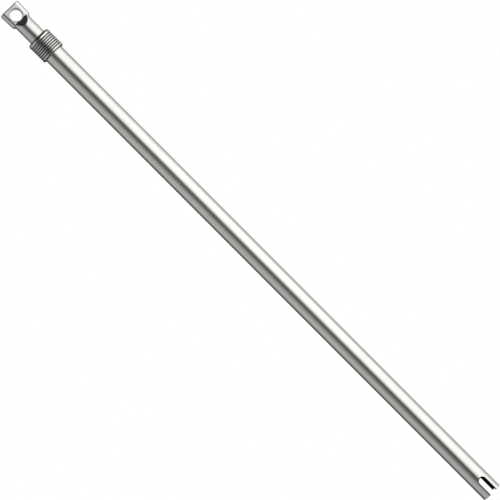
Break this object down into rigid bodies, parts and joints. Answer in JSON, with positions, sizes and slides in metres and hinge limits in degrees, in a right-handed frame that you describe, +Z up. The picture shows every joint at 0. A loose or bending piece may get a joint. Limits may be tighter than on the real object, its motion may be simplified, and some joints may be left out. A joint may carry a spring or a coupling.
{
  "type": "garden dibber",
  "caption": "Stand-up garden dibber: a slotted steel tube with a ribbed grip collar and a sprung plunger that ends in a flat forged eye.",
  "frame": {"origin": "centre of the tube's mouth, in the plane of its end face", "axes": "+Z up the tool to the eye; the mouth's slots and the eye's hole run along Y; X is across the eye's width"},
  "size_m": [0.0316, 0.0316, 0.808],
  "materials": {
    "tube_steel": "bright drawn, faint lengthways draw lines",
    "collar_steel": "turned, satin lands and ribs",
    "forged_steel": "forged and linished, satin",
    "inner_steel": "bright mild steel, lightly oiled",
    "spring_steel": "oil-tempered wire",
    "black_rubber": "matte",
    "pale_acetal": "matte"
  },
  "bodies": {
    "barrel": {"barrel_tube": "tube_steel", "top_collar": "collar_steel", "guide_bush": "pale_acetal", "wiper_ring": "black_rubber", "lower_guide": "pale_acetal", "guide_ring_lower": "spring_steel", "guide_ring_upper": "spring_steel", "return_spring": "spring_steel"},
    "plunger": {"eye_shank": "forged_steel", "shank_pin": "inner_steel", "push_rod": "inner_steel", "spring_washer": "inner_steel", "rod_clip": "spring_steel", "stop_buffer": "black_rubber", "ejector_foot": "inner_steel", "foot_seal": "black_rubber", "foot_pin": "inner_steel"}
  },
  "joints": [
    {"name": "plunger_slide", "type": "slide", "parent": "barrel", "child": "plunger", "axis": [0, 0, -1], "range_m": [0, 0.024], "stiffness_N_per_m": 800, "springref_m": -0.02, "deforming": ["return_spring"]}
  ]
}
